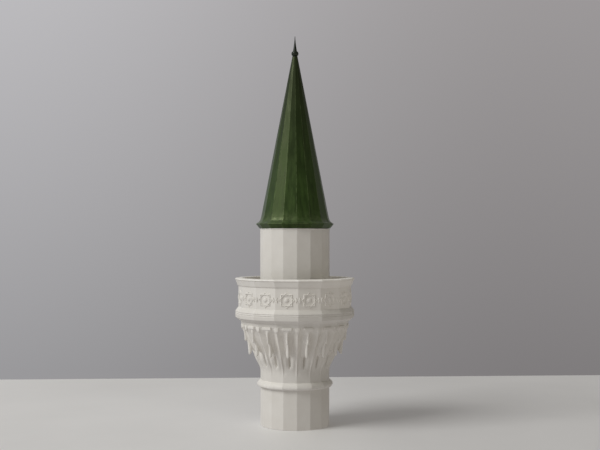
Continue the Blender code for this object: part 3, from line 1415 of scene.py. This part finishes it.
@dataclass
class Roof:
    """The flared eave and the sixteen-sided cone, in one shell.

    The soffit is measured from the shaft's lip and the eave's low edge, and the eave and the
    flare from the height of the eave's nose.
    """

    stretches: int = 24
    arris: float = 0.0005
    nose_rise: float = 0.0047
    soffit: tuple[Turn, ...] = (Turn(0.0004, 0.0), Turn(-0.0004, 0.0001))
    # Third numbers pale the paint on the eave's nose and flare, as rubbed paint that also serves
    # as painted highlight.
    eave: tuple[Turn | Bead, ...] = (
        Turn(0.0004, -0.0006),
        Bead(0.0005, 0.0, (0.0005, 0.0005), -60, 60, 4, highlight_and_wear=0.8),
        Turn(0.0012, 0.0010, 0.5),
    )
    flare: tuple[Turn, ...] = (Turn(-0.0022, 0.0024, 0.4), Turn(-0.0009, 0.0045, 0.5))
    flare_top: Turn = Turn(-0.0001, 0.0, 0.4)

    def build(self, workshop: Workshop) -> None:
        """Models and dresses the roof."""
        eave, cone = extent("roof_eave"), extent("roof_cone")
        nose = eave.low + self.nose_rise
        top = Level(extent("finial_neck").radius, cone.high)
        levels = [
            *placed(self.soffit, extent("shaft_lip").radius, eave.low),
            *placed(self.eave, eave.radius, nose),
            *placed(self.flare, cone.radius, nose),
            *self.flare_top.levels(cone.radius, cone.low),
            *taper(Level(cone.radius, cone.low), top, self.stretches),
        ]
        shell = Moulding("roof_shell", levels, arris=self.arris)
        workshop.mould(shell, ["roof_eave", "roof_cone"], "green", Slot.ROOF_GREEN)


@dataclass
class Finial:
    """The turned neck, bead and spike."""

    sides: int = 32
    stretches: int = 10
    power: float = 1.5
    foot: float = 0.0022
    tip: float = 0.0003
    neck_lap: float = 0.0004
    neck_gap: float = 0.0002

    def build(self, workshop: Workshop) -> None:
        """Models and dresses the finial."""
        neck, bead, spike = (extent("finial_" + part) for part in ("neck", "bead", "spike"))
        ball = Bead(0.0, 0.0, (bead.radius - self.foot, bead.height / 2), -90, 90, 10)
        top = Level(self.tip, spike.high)
        levels = [
            Level(neck.radius, neck.low - self.neck_lap),
            Level(neck.radius, neck.high - self.neck_gap),
            *ball.levels(self.foot, bead.middle),
            *taper(Level(self.foot, spike.low), top, self.stretches, self.power),
        ]
        turned = Moulding("finial_turned", levels, sides=self.sides, arris=0.0)
        nodes = ["finial_neck", "finial_bead", "finial_spike"]
        workshop.mould(turned, nodes, "dark", Slot.FINIAL_DARK)


def around(azimuth: float, lift: float, distance: float) -> Vector:
    """A point round the object's axis.

    Args:
        azimuth: Its angle round the axis in degrees, 0 in front and negative to the left.
        lift: Its angle above the table in degrees.
        distance: Its distance in metres.

    Returns:
        The point.
    """
    turn, rise = math.radians(azimuth), math.radians(lift)
    across = distance * math.cos(rise)
    return Vector((across * math.sin(turn), -across * math.cos(turn), distance * math.sin(rise)))


@dataclass
class Studio:
    """The floor, the light and the camera at the photograph's angle.

    A drift or climb gives the two places that it runs between and its factors there.
    """

    distance: float = 1.056
    azimuth: float = -3.0
    eye: float = 0.1996
    lens: float = 58.5
    shift: Span = (0.0084, 0.025)
    floor_back: float = 0.36
    floor_front: float = 1.4
    floor_half: float = 1.7
    floor_tones: tuple[Colour, Colour] = (
        (0.73, 0.725, 0.715),
        (0.77, 0.765, 0.755),
    )
    floor_clouds: Pattern = Pattern(5.0, 4.0, span=(0.35, 0.65))
    # The floor darkens towards the right as painted shade.
    floor_shade_drift: Drift = (0.0, 0.12, 1.0, 0.90)
    floor_roughness: float = 0.5
    backdrop_left: Colour = (0.418, 0.413, 0.427)
    backdrop_right: Colour = (0.272, 0.259, 0.262)
    backdrop_spread: float = 0.30
    backdrop_climb: Drift = (-0.13, 0.24, 0.78, 1.22)
    room_left: Colour = (0.424, 0.416, 0.406)
    room_right: Colour = (0.216, 0.202, 0.171)
    below_left: Colour = (0.518, 0.500, 0.502)
    below_right: Colour = (0.444, 0.416, 0.396)
    horizon: Span = (-0.06, 0.02)
    room_spread: float = 0.6
    room_edge: float = 0.80
    key_azimuth: float = -65.0
    key_lift: float = 41.0
    key_distance: float = 6.0
    key_size: float = 3.0
    key_power: float = 215.0
    key_tint: Colour = (1.0, 0.997, 0.981)
    key_aim: float = 0.18

    def build(self) -> None:
        """Sets up the studio."""
        self._floor()
        self._world()
        self._key()
        self._camera()

    def _floor(self) -> None:
        """A plain pale floor that ends a little way behind the model, with painted shade making it
        darker to the right.
        """
        clear_selection()
        bpy.ops.mesh.primitive_plane_add(size=1.0)
        floor = new_piece("floor")
        with editing(floor):
            select_all()
            bpy.ops.transform.resize(
                value=(2 * self.floor_half, self.floor_back + self.floor_front, 1.0)
            )
            move(0.0, (self.floor_back - self.floor_front) / 2, 0.0)
        sheet = NodeSheet(bpy.data.materials.new("pale_floor"))
        tone = sheet.blend(sheet.spotted(self.floor_clouds), *self.floor_tones)
        # Painted shade: the floor darkens towards the right.
        drift = sheet.spread(sheet.axis("X"), *self.floor_shade_drift, ease=True)
        sheet.join(sheet.scaled(tone, drift), sheet.shader.inputs["Base Color"])
        sheet.shader.inputs["Roughness"].default_value = self.floor_roughness
        floor.data.materials.append(sheet.owner)
        floor.visible_diffuse = floor.visible_shadow = False

    def _world(self) -> None:
        """A grey backdrop, lighter to the left and above, in a room of four soft tones."""
        sheet = NodeSheet(bpy.data.worlds.new("studio"), "Generated")
        across, depth, climb = (sheet.axis(name) for name in "XYZ")
        spread = self.backdrop_spread
        wall = sheet.blend(
            sheet.spread(across, -spread, spread, 0.0, 1.0, ease=True),
            self.backdrop_left,
            self.backdrop_right,
        )
        wall = sheet.scaled(wall, sheet.spread(climb, *self.backdrop_climb))
        side = sheet.spread(across, -self.room_spread, self.room_spread, 0.0, 1.0, ease=True)
        above = sheet.blend(side, self.room_left, self.room_right)
        below = sheet.blend(side, self.below_left, self.below_right)
        room = sheet.blend(sheet.spread(climb, *self.horizon, 0.0, 1.0), below, above)
        colour = sheet.blend(sheet.spread(depth, self.room_edge, 0.0, 0.0, 1.0), wall, room)
        sheet.join(colour, sheet.tree.nodes["Background"].inputs["Color"])
        bpy.context.scene.world = sheet.owner

    def _key(self) -> None:
        """One large soft lamp to the left, far off and aimed at the model."""
        data = bpy.data.lights.new("key", "AREA")
        data.shape = "SQUARE"
        data.size = self.key_size
        data.energy = self.key_power
        data.color = self.key_tint
        lamp = bpy.data.objects.new("key", data)
        bpy.context.scene.collection.objects.link(lamp)
        aim = Vector((0.0, 0.0, self.key_aim))
        lamp.location = aim + around(self.key_azimuth, self.key_lift, self.key_distance)
        lamp.rotation_euler = (aim - lamp.location).to_track_quat("-Z", "Y").to_euler()

    def _camera(self) -> None:
        """A level camera at the photograph's place."""
        data = bpy.data.cameras.new("camera")
        data.lens = self.lens
        data.shift_x, data.shift_y = self.shift
        camera = bpy.data.objects.new("camera", data)
        bpy.context.scene.collection.objects.link(camera)
        camera.location = around(self.azimuth, 0.0, self.distance)
        camera.location.z = self.eye
        camera.rotation_euler = (math.radians(90), 0.0, math.radians(self.azimuth))
        bpy.context.scene.camera = camera


def write_sizes() -> None:
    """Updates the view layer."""
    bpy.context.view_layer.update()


def main() -> None:
    """Builds the studio and every sub-assembly, and reports each piece."""
    logging.basicConfig(level=logging.INFO, format="%(message)s")
    bpy.context.scene.view_settings.view_transform = "Standard"
    # The balcony's finish: its right side paled as painted light, with a lighter painted shade in
    # hollows.
    balcony = CastWhite(painted_shade=(0.665, 0.645, 0.60), across=(1.0, 1.26))
    workshop = Workshop(
        {
            "white": CastWhite().material(),
            # The carving: darker low down as painted shade and paler high up as painted light.
            "carved": CastWhite(upwards=(0.95, 1.08)).carved(),
            "balcony": balcony.material(),
            "relief": balcony.carved(),
            "green": PaintedGreen().material(),
            "dark": DarkEnamel().material(),
        }
    )
    for assembly in (Shafts(), Corbel(), Balcony(), Relief(), Roof(), Finial()):
        assembly.build(workshop)
    Studio().build()
    clear_selection()
    write_sizes()
    LOG.info("%d pieces", workshop.made)


if __name__ == "__main__":
    main()
